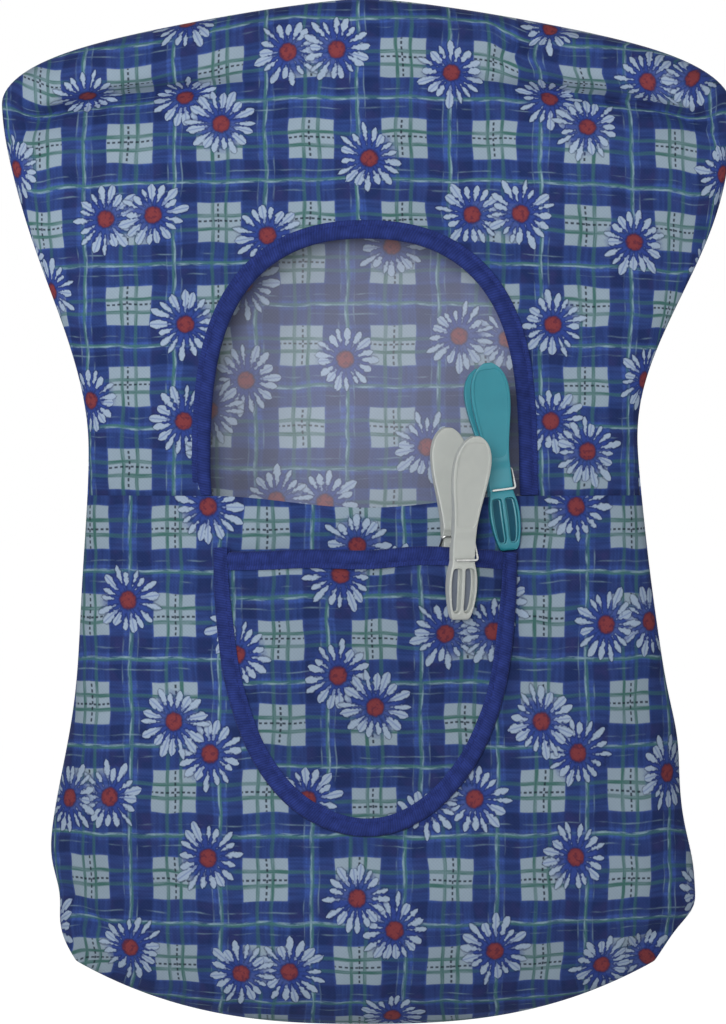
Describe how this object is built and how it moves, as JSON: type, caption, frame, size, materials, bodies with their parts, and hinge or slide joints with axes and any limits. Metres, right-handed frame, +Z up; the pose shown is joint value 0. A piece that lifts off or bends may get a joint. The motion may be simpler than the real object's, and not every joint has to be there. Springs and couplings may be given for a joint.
{
  "type": "peg bag on a hanger",
  "caption": "Printed cloth bag shaped like a dress on a small hanger, with a bound front opening, a bound patch pocket and spring pegs clipped to their edges.",
  "frame": {"origin": "inside the crown of the hook, where it bears on the line", "axes": "+Z up, +X to the right of someone facing the front, +Y from the front to the back"},
  "size_m": [0.3128, 0.0859, 0.4955],
  "materials": {
    "printed_cloth": "plain-weave cotton with a blue plaid and daisy print",
    "blue_tape": "ribbed royal-blue binding tape",
    "beech": "clear-varnished beech",
    "bright_wire": "bright plated steel wire",
    "teal_plastic": "moulded teal plastic",
    "clear_plastic": "moulded milky translucent plastic"
  },
  "bodies": {
    "hook": {"hook": "bright_wire", "hook_washer": "bright_wire"},
    "bag": {"hanger_body": "beech", "back_panel": "printed_cloth", "front_upper_panel": "printed_cloth", "front_lower_panel": "printed_cloth", "opening_binding": "blue_tape", "pocket_panel": "printed_cloth", "pocket_top_binding": "blue_tape", "pocket_edge_binding": "blue_tape"},
    "teal_peg": {"teal_peg_rear_half": "teal_plastic", "teal_peg_spring": "bright_wire"},
    "teal_peg_front": {"teal_peg_front_half": "teal_plastic"},
    "white_peg": {"white_peg_rear_half": "clear_plastic", "white_peg_spring": "bright_wire"},
    "white_peg_front": {"white_peg_front_half": "clear_plastic"}
  },
  "joints": [
    {"name": "hook_swivel", "type": "hinge", "parent": "hook", "child": "bag", "pos_m": [0, 0, 0], "axis": [0, 0, 1], "continuous": true},
    {"name": "teal_peg_pull_off", "type": "slide", "parent": "bag", "child": "teal_peg", "axis": [-0.1358, 0.0678, 0.9884], "range_m": [0, 0.03]},
    {"name": "teal_peg_squeeze", "type": "hinge", "parent": "teal_peg", "child": "teal_peg_front", "pos_m": [0.05644, -0.0187, -0.25383], "axis": [-0.9845, -0.1211, -0.127], "range_deg": [0, 22], "stiffness_Nm_per_rad": 0.1, "springref_deg": -22.92, "deforming": ["teal_peg_spring"]},
    {"name": "white_peg_pull_off", "type": "slide", "parent": "bag", "child": "white_peg", "axis": [0.0305, -0.1043, 0.9941], "range_m": [0, 0.034]},
    {"name": "white_peg_squeeze", "type": "hinge", "parent": "white_peg", "child": "white_peg_front", "pos_m": [0.03963, -0.03766, -0.2821], "axis": [-0.9306, -0.3659, -0.0098], "range_deg": [0, 22], "stiffness_Nm_per_rad": 0.1, "springref_deg": -22.92, "deforming": ["white_peg_spring"]}
  ]
}
